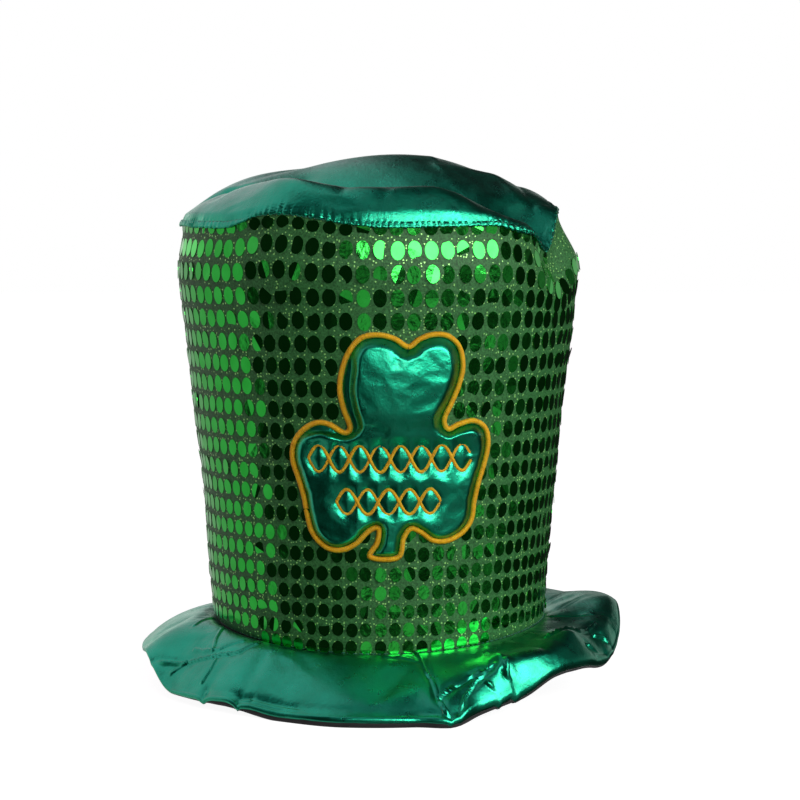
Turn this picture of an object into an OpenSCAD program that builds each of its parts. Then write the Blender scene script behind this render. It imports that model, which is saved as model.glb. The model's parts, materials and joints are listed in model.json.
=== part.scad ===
// Sequinned costume top hat with a padded brim and a three-leaf clover patch.
// Millimetres. The origin is where the crown's axis meets the surface the hat
// stands on, +Z is up and the front of the hat faces -Y. Angles named "turn" are
// measured round the axis from the front, positive towards +X.

/* [Head opening] */
// Inside diameter of the sweatband
head_d = 184; // [176:1:192]
// Height of the sweatband
sweatband_h = 28; // [20:1:34]
// Thickness of the sweatband
sweatband_t = 0.7; // [0.5:0.1:1]

/* [Crown] */
// Height of the base seam above the ground
base_z = 34; // [30:1:40]
// Height of the crown's side, from the base seam to the top seam
side_h = 232; // [200:1:250]
// How much wider in radius the crown is at 200 mm above the base seam
flare = 19; // [8:1:24]
// Radius of the top seam
rim_r = 112.5; // [104:0.5:114]
// How far the base seam dips at front and back, and rises at the sides
base_sag = 3.5; // [0:0.5:5]
// Height of the back dome above the top seam
dome_h = 43; // [20:1:46]
// Height of the puffed front lip above the top seam
lip_h = 19; // [10:1:24]

/* [Brim] */
// Radius of the brim's outer edge
brim_r = 140; // [130:1:150]
// Thickness of the brim at its edges
brim_edge_t = 3; // [2:0.5:4]
// Extra thickness of the brim's padding at its middle
brim_puff = 3.5; // [2:0.5:6]

/* [Cloth layers] */
// Thickness of the sequinned and the metallic cloth
cloth_t = 0.5; // [0.4:0.1:0.8]
// Thickness of the linings
lining_t = 0.4; // [0.3:0.1:0.6]
// Thickness of the foam in the crown's side
foam_t = 2; // [1:0.1:2.2]
// Thickness of the sewing thread
thread_d = 0.7; // [0.4:0.1:1]

/* [Clover patch] */
// Distance of the patch's centre to the right of the middle of the front
patch_x = 7.2; // [-10:0.1:10]
// Height of the patch's centre above the ground
patch_z = 145; // [130:1:155]
// How far the patch stands proud of the crown
patch_t = 3.6; // [2:0.1:5]
// Width of the satin-stitched border
border_w = 2.9; // [2:0.1:4]
// Width of one embroidered strand
strand_w = 1.9; // [1:0.1:2.5]

/* [Hidden] */

// Colours of the cloths and threads
sequin_green = [0.10, 0.55, 0.20];
lame_green = [0.05, 0.50, 0.40];
lining_black = [0.06, 0.06, 0.07];
wadding_white = [0.92, 0.92, 0.90];
gold = [0.90, 0.62, 0.08];

// Every soft layer is a mesh on one shared grid of turns, so layers never cross
steps = 48;
turns = [for (i = [0 : steps - 1]) i * 360 / steps];
gap = 0.1;              // between two layers that lie on each other
head_r = head_d / 2;
lining_clear = 0.4;     // between the round sweatband and the flat-sided lining
lining_r = head_r + sweatband_t + lining_clear;
base_r = lining_r + lining_t + foam_t + cloth_t + 2 * gap;
rim_z = base_z + side_h;

// Bumps round the hat: [turn of the middle, half its flat top, where it ends, height]
rim_lifts = [[63, 0, 14, -17], [50, 0, 16, -5], [92, 4, 34, 8], [-28, 0, 20, 4]];
rim_pulls = [[62, 0, 20, -6], [98, 6, 40, -12]];
edge_lifts = [[-105, 30, 48, 19.5], [-52, 13, 30, 4.5], [35, 0, 9, -2.5], [51, 2, 38, 20.5],
    [112, 17, 53, 34.5], [95, 0, 34, 6]];
edge_pulls = [[16, 0, 8, 7], [0, 8, 22, 2], [-40, 10, 34, -5], [-95, 10, 45, -3]];

function smooth(a, b, x) = let (t = min(1, max(0, (x - a) / (b - a)))) t * t * (3 - 2 * t);
function turned(a) = a - 360 * round(a / 360);
function bump(turn, b) = b[3] * (1 - smooth(b[1], b[2], abs(turned(turn - b[0]))));
function bumps(turn, list, i = 0) =
    i == len(list) ? 0 : bump(turn, list[i]) + bumps(turn, list, i + 1);
function at(turn, r, z) = [r * sin(turn), -r * cos(turn), z];

// The crown's side flares from the base seam, and its shoulder curls in to the top seam
shoulder = 0.86;        // where the curl starts, as a share of the side's height
notch_start = 0.72;     // where the top seam's rise and fall starts to show
function flared(h) = base_r + flare * pow(max(0, h) / 200, 1.3);
function seam_z(turn) = base_z - base_sag * cos(2 * turn);
function top_z(turn) = rim_z + bumps(turn, rim_lifts);
function top_r(turn) = rim_r + bumps(turn, rim_pulls);
function side_z(turn, t) = let (low = seam_z(turn))
    low + t * (rim_z - low) + bumps(turn, rim_lifts) * smooth(notch_start, 1, t);
function side_r(turn, t) = flared(side_z(turn, t) - base_z)
    + (top_r(turn) - flared(top_z(turn) - base_z)) * smooth(shoulder, 1, t);

// The crown's top is a front lip and a back dome, parted by a crease from the left
// to the notch in the rim at the front right
crease_a = [-85, 62];
function rim_xy(turn) = [top_r(turn) * sin(turn), -top_r(turn) * cos(turn)];
crease_p = rim_xy(crease_a[0]);
crease_way = (rim_xy(crease_a[1]) - crease_p) / norm(rim_xy(crease_a[1]) - crease_p);
function ahead(p) = (p[0] - crease_p[0]) * crease_way[1] - (p[1] - crease_p[1]) * crease_way[0];
function rise(d, over) = 1 - exp(-max(0, d) / over);
top_layers_t = cloth_t + lining_t + 2 * gap + 2;    // the top's thickness at its rim
function puff(turn, q) = let (p = rim_xy(turn) * q, d = ahead(p))
    d > 0 ? lip_h * sqrt(rise((1 - q) * top_r(turn), 9) * rise(d, 14))
          : dome_h * pow(1 - q * q, 0.9) * rise(-d, 32);
function crown_z(turn, q) = top_z(turn) * pow(q, 3) + rim_z * (1 - pow(q, 3))
    + gap + top_layers_t + puff(turn, q);

// The brim's underside falls from the seam to an edge that rests on the ground at
// front and back; u is 0 at the crown's outer face and 1 at the edge
brim_in_r = base_r + 0.6;
function edge_z(turn) = bumps(turn, edge_lifts);
function edge_r(turn) = brim_r + bumps(turn, edge_pulls);
function brim_at_r(turn, u) = u < 0 ? lining_r : brim_in_r + u * (edge_r(turn) - brim_in_r);
function under_z(turn, u) = let (top = seam_z(turn) - brim_edge_t)
    top + (edge_z(turn) - top) * pow(max(0, u), 1.25);
function brim_t(u) = brim_edge_t + brim_puff * pow(sin(180 * max(0, u)), 0.7);

side_levels = [0, 0.2, 0.4, 0.6, 0.75, 0.86, 0.93, 1];
top_levels = [1, 0.96, 0.88, 0.75, 0.55, 0.3];
brim_levels = [-1, 0, 0.15, 0.35, 0.6, 0.8, 0.93, 1];

// A solid whose skin runs through closed rings of points. Its rings close on each
// other, or both ends are closed by a point. The second half of the rings runs back
// over the first, so its squares are cut along the mirrored diagonal, and the two
// faces of a thin layer stay the same distance apart.
module ringed(rings, ends = []) {
    n = len(rings[0]);
    m = len(rings);
    wraps = len(ends) == 0;
    points = concat([for (r = rings) for (p = r) p], ends);
    bands = [for (i = [0 : wraps ? m - 1 : m - 2]) for (j = [0 : n - 1])
        let (a = i * n + j, b = i * n + (j + 1) % n,
             c = ((i + 1) % m) * n + j, d = ((i + 1) % m) * n + (j + 1) % n)
        each i < m / 2 ? [[a, c, b], [b, c, d]] : [[a, c, d], [a, d, b]]];
    caps = wraps ? [] : [for (j = [0 : n - 1]) let (k = (j + 1) % n)
        each [[m * n, j, k], [m * n + 1, (m - 1) * n + k, (m - 1) * n + j]]];
    polyhedron(points, concat(bands, caps), convexity = 6);
}

function reversed(list) = [for (i = [len(list) - 1 : -1 : 0]) list[i]];

// A layer of the crown's side, from depth d0 to depth d1 inside its outer face
module side_layer(d0, d1) {
    ringed(concat(
        [for (t = side_levels) [for (a = turns) at(a, side_r(a, t) - d0, side_z(a, t))]],
        [for (t = reversed(side_levels)) [for (a = turns) at(a, side_r(a, t) - d1, side_z(a, t))]]));
}

// A layer of the crown's top, between depths below its upper face that may vary
// with the distance from the middle
module top_layer(above, below) {
    ringed(concat(
        [for (q = reversed(top_levels)) [for (a = turns) at(a, q * top_r(a), crown_z(a, q) - below(q))]],
        [for (q = top_levels) [for (a = turns) at(a, q * top_r(a), crown_z(a, q) - above(q))]]),
        [[0, 0, crown_z(0, 0) - below(0)], [0, 0, crown_z(0, 0) - above(0)]]);
}
wadding = function (q) 2 + 4 * (1 - pow(q, 4));
top_cloth_under = function (q) cloth_t;
top_wadding_over = function (q) cloth_t + gap;
top_wadding_under = function (q) cloth_t + gap + wadding(q);
top_lining_over = function (q) cloth_t + 2 * gap + wadding(q);
top_lining_under = function (q) cloth_t + 2 * gap + wadding(q) + lining_t;
top_face = function (q) 0;

// A layer of the brim, between heights over its underside
module brim_layer(low, high) {
    ringed(concat(
        [for (u = brim_levels) [for (a = turns) at(a, brim_at_r(a, u), under_z(a, u) + high(u))]],
        [for (u = reversed(brim_levels)) [for (a = turns) at(a, brim_at_r(a, u), under_z(a, u) + low(u))]]));
}
brim_face = function (u) brim_t(u);
brim_cloth_under = function (u) brim_t(u) - cloth_t;
brim_wadding_over = function (u) brim_t(u) - cloth_t - gap;
brim_wadding_under = function (u) lining_t + gap;
brim_lining_over = function (u) lining_t;
brim_lining_under = function (u) 0;

// A thread laid round the hat, with its middle at radius r(turn) and height z(turn)
module ring_thread(r, z) {
    ringed([for (k = [0 : 3])
        [for (a = turns) at(a, r(a) + cos(90 * k) * thread_d / 2, z(a) - sin(90 * k) * thread_d / 2)]]);
}

// A thread along a run of points, square in section, standing on the surface along up
module run_thread(points, up, across) {
    half = across * thread_d / 2;
    rings = [for (p = points)
        [p - half, p + half, p + half + up * thread_d, p - half + up * thread_d]];
    last = len(points) - 1;
    ringed(rings, [points[0] + up * thread_d / 2, points[last] + up * thread_d / 2]);
}

// A closed smooth curve through hand-placed points
function curve_at(p0, p1, p2, p3, t) = 0.5 * (2 * p1 + (p2 - p0) * t
    + (2 * p0 - 5 * p1 + 4 * p2 - p3) * t * t + (3 * p1 - p0 - 3 * p2 + p3) * t * t * t);
function closed_curve(points, parts) = let (n = len(points)) [for (i = [0 : n - 1])
    for (k = [0 : parts - 1])
    curve_at(points[(i + n - 1) % n], points[i], points[(i + 1) % n], points[(i + 2) % n], k / parts)];
function side_of(a, b, d) = let (w = b - a) [w[1], -w[0]] / norm(w) * d;
function grown(curve, d) = let (n = len(curve)) [for (i = [0 : n - 1])
    curve[i] + side_of(curve[(i + n - 1) % n], curve[(i + 1) % n], d)];

// The middle line of the clover's border, from its top notch towards the left, as
// [across, up] from the patch's centre
clover_points = [[9.5, 54.5], [2, 59], [-7, 61], [-16, 59], [-22.5, 51], [-26, 41], [-27, 31],
    [-25, 21], [-21.5, 11], [-25, 8], [-33, 12.5], [-40, 13], [-47, 9], [-52, 2], [-53, -7],
    [-50, -17], [-47, -27], [-45, -38], [-42, -48], [-35, -55], [-27, -56.5], [-19, -53],
    [-12, -46], [-6.5, -44], [-7, -52], [-11, -60], [4, -60.5], [7, -50], [11, -44.5], [17, -47],
    [23, -51.5], [31, -52], [39, -48], [44, -41], [45.5, -31], [48, -20], [51, -10], [53, 0],
    [51.5, 9], [45, 13.5], [37, 12], [31, 9.5], [29, 15], [33, 24], [37, 34], [39, 44], [37, 54],
    [31, 60], [23, 61], [15.5, 58.5]];
clover_line = closed_curve(clover_points, 2);

// A shell that lies on the crown's side, from height d0 to height d1 over it
patch_levels = [66, 105, 140, 175, 215];
module side_shell(d0, d1) {
    low = [for (z = patch_levels) [flared(z - base_z) + d0, z]];
    high = [for (z = reversed(patch_levels)) [flared(z - base_z) + d1, z]];
    rotate_extrude($fn = 96) polygon(concat(low, high));
}
module from_front() {
    translate([patch_x, -70, patch_z]) rotate([90, 0, 0]) linear_extrude(60) children();
}
module on_crown(d0, d1) {
    intersection() {
        side_shell(d0, d1);
        from_front() children();
    }
}

// A braid of two strands that cross once in each half wave
module braid(length, height, waves) {
    count = waves * 16;
    for (way = [-1, 1]) {
        middle = [for (i = [0 : count])
            [length * (i / count - 0.5), way * (height - strand_w) / 2 * sin(360 * waves * i / count)]];
        ends = [for (i = [0 : count])
            side_of(middle[max(0, i - 1)], middle[min(count, i + 1)], strand_w / 2)];
        polygon(concat([for (i = [0 : count]) middle[i] + ends[i]],
            [for (i = [count : -1 : 0]) middle[i] - ends[i]]));
    }
}
upper_braid = [88, 17, 4];      // length, height and waves
lower_braid = [56, 16, 2.5];
upper_braid_at = [0, -6];
lower_braid_at = [-1, -29.5];
on_patch = patch_t + 0.05;
strand_t = 0.8;

module crown_side_cloth() { color(sequin_green) side_layer(0, cloth_t); }

module crown_side_foam() {
    color(wadding_white) side_layer(cloth_t + gap, cloth_t + gap + foam_t);
}

module crown_side_lining() {
    color(lining_black)
        side_layer(cloth_t + foam_t + 2 * gap, cloth_t + foam_t + 2 * gap + lining_t);
}

// The seam that joins the ends of the side's cloth, at the back
module back_seam_thread() {
    color(sequin_green) run_thread(
        [for (t = side_levels) if (t > 0 && t < 1) at(180, side_r(180, t) + gap, side_z(180, t))],
        [0, 1, 0], [1, 0, 0]);
}

module crown_top_cloth() { color(lame_green) top_layer(top_face, top_cloth_under); }

module crown_top_padding() { color(wadding_white) top_layer(top_wadding_over, top_wadding_under); }

module crown_top_lining() { color(lining_black) top_layer(top_lining_over, top_lining_under); }

module top_seam_thread() {
    color(lame_green) ring_thread(function (a) top_r(a) + thread_d / 2 + gap,
        function (a) top_z(a));
}

module brim_top_cloth() { color(lame_green) brim_layer(brim_cloth_under, brim_face); }

module brim_padding() { color(wadding_white) brim_layer(brim_wadding_under, brim_wadding_over); }

module brim_under_cloth() { color(lining_black) brim_layer(brim_lining_under, brim_lining_over); }

module base_seam_thread() {
    color(lame_green) ring_thread(function (a) base_r + thread_d / 2 + gap,
        function (a) seam_z(a) + thread_d);
}

module brim_edge_thread() {
    color(lame_green) ring_thread(function (a) edge_r(a) + thread_d / 2 + gap,
        function (a) edge_z(a) + brim_edge_t / 2);
}

// The seam that joins the ends of the brim's ring, at the front
module brim_joint_thread() {
    joint_a = 15;
    color(lame_green) run_thread(
        [for (u = brim_levels) if (u > 0 && u < 1)
            at(joint_a, brim_at_r(joint_a, u), under_z(joint_a, u) + brim_t(u) + gap)],
        [0, 0, 1], [cos(joint_a), sin(joint_a), 0]);
}

// The band round the head, with its lower edge at the brim's inner edge
sweatband_z = base_z - 4;
module sweatband() {
    color(lining_black) translate([0, 0, sweatband_z]) difference() {
        cylinder(h = sweatband_h, r = head_r + sweatband_t, $fn = 120);
        translate([0, 0, -1]) cylinder(h = sweatband_h + 2, r = head_r, $fn = 120);
    }
}

module sweatband_thread() {
    color(lining_black) translate([0, 0, sweatband_z - thread_d / 2 - gap / 2])
        rotate_extrude($fn = 120)
        translate([head_r + sweatband_t / 2, 0]) circle(d = thread_d, $fn = 24);
}

module clover_padding() {
    color(wadding_white) on_crown(0.1, patch_t - cloth_t - gap)
        polygon(grown(clover_line, -border_w / 2 - cloth_t - gap));
}

// The patch's cloth lies over the padding and comes down round it to the crown
module clover_cloth() {
    color(lame_green) difference() {
        on_crown(0.1, patch_t) polygon(grown(clover_line, -border_w / 2 - gap / 2));
        on_crown(-1, patch_t - cloth_t) polygon(grown(clover_line, -border_w / 2 - cloth_t));
    }
}

module clover_border() {
    color(gold) on_crown(0.1, patch_t + 0.3) difference() {
        polygon(grown(clover_line, border_w / 2));
        polygon(grown(clover_line, -border_w / 2));
    }
}

module clover_upper_braid() {
    color(gold) on_crown(on_patch, on_patch + strand_t)
        translate(upper_braid_at) braid(upper_braid[0], upper_braid[1], upper_braid[2]);
}

module clover_lower_braid() {
    color(gold) on_crown(on_patch, on_patch + strand_t)
        translate(lower_braid_at) braid(lower_braid[0], lower_braid[1], lower_braid[2]);
}

crown_side_cloth();
crown_side_foam();
crown_side_lining();
back_seam_thread();
crown_top_cloth();
crown_top_padding();
crown_top_lining();
top_seam_thread();
brim_top_cloth();
brim_padding();
brim_under_cloth();
base_seam_thread();
brim_edge_thread();
brim_joint_thread();
sweatband();
sweatband_thread();
clover_padding();
clover_cloth();
clover_border();
clover_upper_braid();
clover_lower_braid();
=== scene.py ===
"""A sequinned costume top hat, dressed over its CAD frame.

Lengths are in metres in Blender; the shape functions work in millimetres and
degrees, as the CAD source does, and MM turns them into metres. "turn" is the angle
round the crown's axis from the front, positive towards +X.
"""
import json
import math
import random

import bpy
import numpy as np
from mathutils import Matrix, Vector, geometry, noise


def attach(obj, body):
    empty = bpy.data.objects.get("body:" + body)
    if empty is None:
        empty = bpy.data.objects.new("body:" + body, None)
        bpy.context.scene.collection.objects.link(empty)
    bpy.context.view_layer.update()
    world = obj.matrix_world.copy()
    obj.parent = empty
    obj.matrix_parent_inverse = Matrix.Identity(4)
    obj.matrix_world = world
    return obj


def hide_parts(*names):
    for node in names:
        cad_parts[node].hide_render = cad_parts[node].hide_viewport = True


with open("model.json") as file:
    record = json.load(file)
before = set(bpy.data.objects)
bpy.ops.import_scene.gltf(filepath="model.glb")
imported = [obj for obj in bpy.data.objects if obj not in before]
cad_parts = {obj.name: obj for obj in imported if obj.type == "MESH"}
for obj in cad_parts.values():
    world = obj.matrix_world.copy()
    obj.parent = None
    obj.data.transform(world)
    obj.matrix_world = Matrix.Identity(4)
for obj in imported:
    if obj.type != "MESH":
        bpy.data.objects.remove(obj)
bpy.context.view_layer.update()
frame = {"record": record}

MM = 0.001
ROOT = "root"

# ---------------------------------------------------------------- driving sizes

HEAD_R = next(m for m in frame["record"]["mounts"] if m["name"] == "head_opening")["dims"]["r_mm"]
BAND_T = 0.7
BAND_CLEAR = 0.4
LINING_T = 0.4
FOAM_T = 2.0
CLOTH_T = 0.5
GAP = 0.1
LINING_R = HEAD_R + BAND_T + BAND_CLEAR
BASE_R = LINING_R + LINING_T + FOAM_T + CLOTH_T + 2 * GAP
BASE_Z = 34.0
RIM_Z = BASE_Z + 232.0
RIM_R = 112.5
FLARE = 19.0
BASE_SAG = 3.5
DOME_H = 43.0
LIP_H = 15.5
BRIM_R = 140.0
BRIM_EDGE_T = 3.0
BRIM_PUFF = 3.5
JOINT_TURN = 14.0
TOP_LAYERS_T = CLOTH_T + LINING_T + 2 * GAP + 2.0

# [turn of the middle, half its flat top, where it ends, height]
RIM_LIFTS = [(63, 0, 14, -17), (50, 0, 16, -5), (92, 4, 34, 8), (-28, 0, 20, 4)]
RIM_PULLS = [(62, 0, 20, -6), (98, 6, 40, -12)]
EDGE_LIFTS = [(-105, 30, 48, 19.5), (-52, 13, 30, 4.5), (35, 0, 9, -2.5), (51, 2, 38, 20.5),
              (112, 17, 53, 34.5), (95, 0, 34, 6)]
EDGE_PULLS = [(16, 0, 8, 7), (0, 8, 22, 2), (-40, 10, 34, -5), (-95, 10, 45, -3)]

# ---------------------------------------------------------------- shape functions


def smooth(a, b, x):
    t = np.clip((x - a) / (b - a), 0, 1)
    return t * t * (3 - 2 * t)


def turned(a):
    return (np.asarray(a) + 180.0) % 360.0 - 180.0


def near_turn(turn, mid, half):
    """1 at the middle turn, falling smoothly to 0 half that far either side."""
    return 1 - smooth(0, half, np.abs(turned(turn - mid)))


def bumps(turn, rows):
    return sum(h * (1 - smooth(flat, end, np.abs(turned(turn - mid)))) for mid, flat, end, h in rows)


def at(turn, r, z):
    a = np.radians(turn)
    return np.stack(np.broadcast_arrays(r * np.sin(a), -r * np.cos(a), z), axis=-1)


def flared(h):
    return BASE_R + FLARE * (np.clip(h, 0, None) / 200) ** 1.3


def seam_z(turn):
    return BASE_Z - BASE_SAG * np.cos(2 * np.radians(turn))


def top_z(turn):
    return RIM_Z + bumps(turn, RIM_LIFTS)


def top_r(turn):
    return RIM_R + bumps(turn, RIM_PULLS)


class Waves:
    """A smooth repeatable noise in one or two dimensions, made of a few sine waves."""

    def __init__(self, seed, low, high, count):
        rng = np.random.RandomState(seed)
        way = rng.uniform(0, 2 * np.pi, count)
        rate = rng.uniform(low, high, count)
        self.u, self.v = rate * np.cos(way), rate * np.sin(way)
        self.phase = rng.uniform(0, 2 * np.pi, count)

    def __call__(self, u, v):
        u, v = np.asarray(u)[..., None], np.asarray(v)[..., None]
        return np.sin(self.u * u + self.v * v + self.phase).sum(-1) / math.sqrt(len(self.phase))


class Ripple:
    """A smooth repeatable noise round a closed ring: whole waves only."""

    def __init__(self, seed, low, high):
        rng = np.random.RandomState(seed)
        self.count = np.arange(low, high + 1)
        self.phase = rng.uniform(0, 2 * np.pi, len(self.count))
        self.size = rng.uniform(0.4, 1.0, len(self.count))

    def __call__(self, turn):
        a = np.radians(np.asarray(turn))[..., None]
        return (self.size * np.sin(self.count * a + self.phase)).sum(-1) / math.sqrt(len(self.count))


side_waves = Waves(5, 1 / 16, 1 / 9, 9)
SIDE_WAVE = 0.35
MEAN_R = 100.0
KICK_H = 2.6        # height over which the side's cloth turns out or in at the base seam


def kick(turn):
    """How far the side's cloth turns out at the base seam; it tucks in at the left."""
    return np.interp(turned(turn), [-180, -125, -100, -35, -8, 180], [-0.3, -0.3, -2.0, -2.0, -0.3, -0.3])


def side_z(turn, t):
    low = seam_z(turn)
    return low + t * (RIM_Z - low) + bumps(turn, RIM_LIFTS) * smooth(0.72, 1, t)


def side(turn, t, depth=0.0):
    """Points of the crown's side; t runs from 0 at the base seam to 1 at the rim."""
    turn, t = np.broadcast_arrays(np.asarray(turn, float), np.asarray(t, float))
    z = side_z(turn, t)
    r = flared(z - BASE_Z) + (top_r(turn) - flared(top_z(turn) - BASE_Z)) * smooth(0.86, 1, t)
    fade = smooth(0, 0.1, t) * (1 - smooth(0.9, 1, t))
    r = r + SIDE_WAVE * fade * side_waves(np.radians(turned(turn)) * MEAN_R, z)
    r = r + kick(turn) * np.exp(-np.clip(z - seam_z(turn), 0, None) / KICK_H)
    return at(turn, r - depth, z)


def side_frame(turn, t):
    """A point of the side with the ways round and up along it, and its outward normal."""
    step = 0.2
    p = side(turn, t)
    around = side(turn + step, t) - side(turn - step, t)
    up = side(turn, t + 0.002) - side(turn, t - 0.002)
    around /= np.linalg.norm(around, axis=-1, keepdims=True)
    out = np.cross(around, up)
    out /= np.linalg.norm(out, axis=-1, keepdims=True)
    return p, around, np.cross(out, around), out


# The crown's top: a front lip and a back dome, parted by a crease
CREASE = (-85.0, 62.0)


def rim_xy(turn):
    return at(turn, top_r(turn), 0)[:2]


crease_p = rim_xy(CREASE[0])
crease_way = (rim_xy(CREASE[1]) - crease_p) / np.linalg.norm(rim_xy(CREASE[1]) - crease_p)
notch = rim_xy(CREASE[1])
dome_waves = Waves(3, 1 / 22, 1 / 12, 7)

# Creases in the top's cloth, in its plan: [points, depth, half width]
TOP_CREASES = [
    ([(30, 34), (34, 4), (46, -20)], -1.3, 1.2),
    ([(-112, -4), (-92, 2), (-62, -4)], -3.0, 5.0),
    ([(-112, -14), (-92, -12), (-66, -22)], 2.0, 3.0),
    ([(63.5, -87), (76, -76), (85, -62), (88.6, -51)], -2.4, 1.8),
    ([(80, -28), (88, -22), (96, -16)], 2.0, 2.5),
    ([(-20, -108), (-18, -97), (-14, -88)], 1.3, 2.0),
    ([(3, -110), (6, -98), (12, -90)], 1.5, 2.2),
    ([(40, -103), (38, -92), (30, -84)], 1.2, 2.2),
    ([(78, 20), (84, -8), (88, -30)], 1.8, 4.0),
    ([(60, 34), (70, 4), (80, -26)], -1.5, 4.0),
    ([(-88, -40), (-70, -20), (-40, 2)], 1.8, 3.5),
    ([(-98, -20), (-78, 6), (-44, 30)], 1.4, 3.5),
]


def near_line(x, y, line):
    """Distance from points of a plan to a run of straight pieces."""
    best = np.full(np.shape(x), 1e9)
    for (ax, ay), (bx, by) in zip(line[:-1], line[1:]):
        wx, wy = bx - ax, by - ay
        t = np.clip(((x - ax) * wx + (y - ay) * wy) / (wx * wx + wy * wy + 1e-9), 0, 1)
        best = np.minimum(best, np.hypot(x - ax - t * wx, y - ay - t * wy))
    return best


def creased(x, y, rows):
    return -sum(depth * np.exp(-near_line(x, y, line) / width) for line, depth, width in rows)


def lip_face(edge, x):
    """Rise of the lip: a steep gathered roll at the seam, then a slope, longer at the left."""
    run = 15.0 + 17.0 * (1 - smooth(-80, -38, x))
    return 0.08 * (1 - np.exp(-edge / 0.6)) + 0.92 * np.sin(np.clip(edge / run, 0, 1) * np.pi / 2)


def crown_top(x, y, waves=1.0):
    """Height of the top cloth's upper face over a point of the plan."""
    turn = np.degrees(np.arctan2(x, -y))
    rim = top_r(turn)
    q = np.clip(np.hypot(x, y) / rim, 0, 1)
    edge = (1 - q) * rim
    d = (x - crease_p[0]) * crease_way[1] - (y - crease_p[1]) * crease_way[0]
    ahead, behind = np.clip(d, 0, None), np.clip(-d, 0, None)
    taper = 0.08 + 0.92 * smooth(36, 78, np.hypot(x - notch[0], y - notch[1]))
    hump = 1 + 0.14 * np.exp(-((x + 56) / 22) ** 2)
    front = LIP_H * taper * hump * lip_face(edge, x) * np.sqrt(1 - np.exp(-ahead / 8))
    depth = 32.0 - 20.0 * (1 - smooth(-90, -35, x))
    valley = near_turn(turn, 74, 26)
    back = DOME_H * (1 - q * q) ** 0.9 * (1 - np.exp(-behind / depth))
    back = back * (1 - 0.9 * valley * np.exp(-edge / 15))
    layers = TOP_LAYERS_T * (1 - np.exp(-edge / (3.5 + 10 * valley)))
    share = q ** 3 + (1 - smooth(6, 45, edge) - q ** 3) * valley
    z = top_z(turn) * share + RIM_Z * (1 - share) + GAP + layers
    wave = (0.7 * dome_waves(x, y) + creased(x, y, TOP_CREASES)) * (1 - np.exp(-edge / 12))
    return z + np.where(d > 0, front, back) + waves * wave


# The brim
BRIM_IN_R = BASE_R + 0.6


def edge_z(turn):
    return bumps(turn, EDGE_LIFTS)


def edge_r(turn):
    return BRIM_R + bumps(turn, EDGE_PULLS)


def under(turn, u, lift=0.0):
    """Points of the brim's underside; u is 0 at the crown and 1 at the edge."""
    turn, u = np.broadcast_arrays(np.asarray(turn, float), np.asarray(u, float))
    r = np.where(u < 0, LINING_R, BRIM_IN_R + u * (edge_r(turn) - BRIM_IN_R))
    top = seam_z(turn) - BRIM_EDGE_T
    z = top + (edge_z(turn) - top) * np.clip(u, 0, None) ** 1.25
    return at(turn, r, z + lift)


def black_edge(turn):
    """Height of the black cloth that shows under the rolled edge."""
    return 0.3 + 2.2 * (1 - smooth(24, 42, np.abs(turned(turn + 10))))


def rolled_up(turn):
    """1 at the front right, where the edge is rolled up into a steep face, and 0 elsewhere."""
    return smooth(15, 21, turned(turn)) * (1 - smooth(60, 78, turned(turn)))


def roll_r(turn):
    """Radius of the rolled edge."""
    return 1.0 + 0.7 * near_turn(turn, 0, 60) + 2.4 * rolled_up(turn)


def roll_start(turn):
    """Elevation of the cloth's normal where the roll begins, in radians."""
    return np.radians(90 - 62 * rolled_up(turn))


brim_waves = Waves(8, 1 / 14, 1 / 7, 9)


# The crest of the rolled-up edge: [turn, share of the width, height over the underside]
BRIM_CRESTS = np.array([
    (-180, 0.90, 3.6), (-40, 0.92, 3.8), (0, 0.93, 5.5), (14, 0.96, 6.0), (18, 0.95, 7.0), (22, 0.92, 9.5),
    (26, 0.90, 12.0),
    (28.5, 0.90, 13.5), (31, 0.87, 19.0), (33.5, 0.88, 15.5), (36, 0.89, 15.5), (40, 0.90, 13.0),
    (44, 0.90, 10.0), (50, 0.87, 11.0), (56, 0.80, 14.0), (60, 0.76, 13.0), (66, 0.80, 10.0),
    (74, 0.86, 10.5), (82, 0.90, 8.0), (95, 0.92, 5.5), (120, 0.90, 3.6), (180, 0.90, 3.6)])


def brim_t(turn, u):
    """Thickness of the brim; it rises to a crest and falls from there to the edge."""
    u = np.clip(u, 0, 1)
    edge_t = black_edge(turn) + roll_r(turn) * (1 + np.sin(roll_start(turn)))
    crest = np.interp(turned(turn), BRIM_CRESTS[:, 0], BRIM_CRESTS[:, 1])
    height = np.maximum(np.interp(turned(turn), BRIM_CRESTS[:, 0], BRIM_CRESTS[:, 2]), edge_t)
    body = BRIM_EDGE_T + BRIM_PUFF * np.sin(np.pi * np.clip(u / crest, 0, 1)) ** 0.7
    near = body + (height - BRIM_EDGE_T) * smooth(0.35, 1, u / crest) ** 1.2
    face = edge_t + (height - edge_t) * np.clip((1 - u) / (1 - crest), 0, 1) ** 0.8
    return np.where(u < crest, near, face)


# Radial folds of the brim: [turn, half width, height at the edge]
BRIM_FOLDS = [(-34, 4, -1.2), (-45, 3, -1.0), (-118, 40, -1.6)]

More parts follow.
